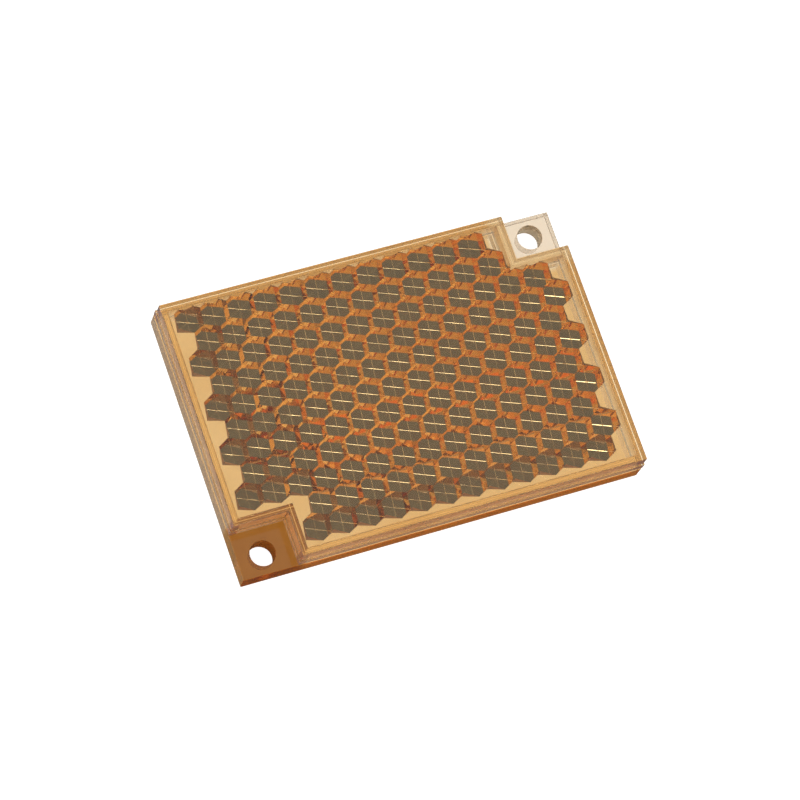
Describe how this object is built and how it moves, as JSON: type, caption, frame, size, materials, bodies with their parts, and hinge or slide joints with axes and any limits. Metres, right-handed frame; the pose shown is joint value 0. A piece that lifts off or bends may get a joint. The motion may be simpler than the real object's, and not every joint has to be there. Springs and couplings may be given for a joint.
{
  "type": "flat prismatic reflector plate",
  "caption": "Flat rectangular amber reflector: clear lens with corner-cube prisms on a back plate with diagonal screw tabs.",
  "frame": {"origin": "middle of the flat back, where the plate lies on its mounting surface", "axes": "+X along the long side, +Y towards the far long edge, +Z out of the reflecting face"},
  "size_m": [0.06, 0.0404, 0.0072],
  "materials": {
    "lens_amber": "clear amber plastic of unknown kind, polished",
    "plate_amber": "clear amber plastic, moulded",
    "bead_amber": "clear amber plastic, melted and slightly cloudy"
  },
  "bodies": {
    "root": {"front_lens": "lens_amber", "back_plate": "plate_amber", "weld_bead": "bead_amber"}
  },
  "joints": []
}
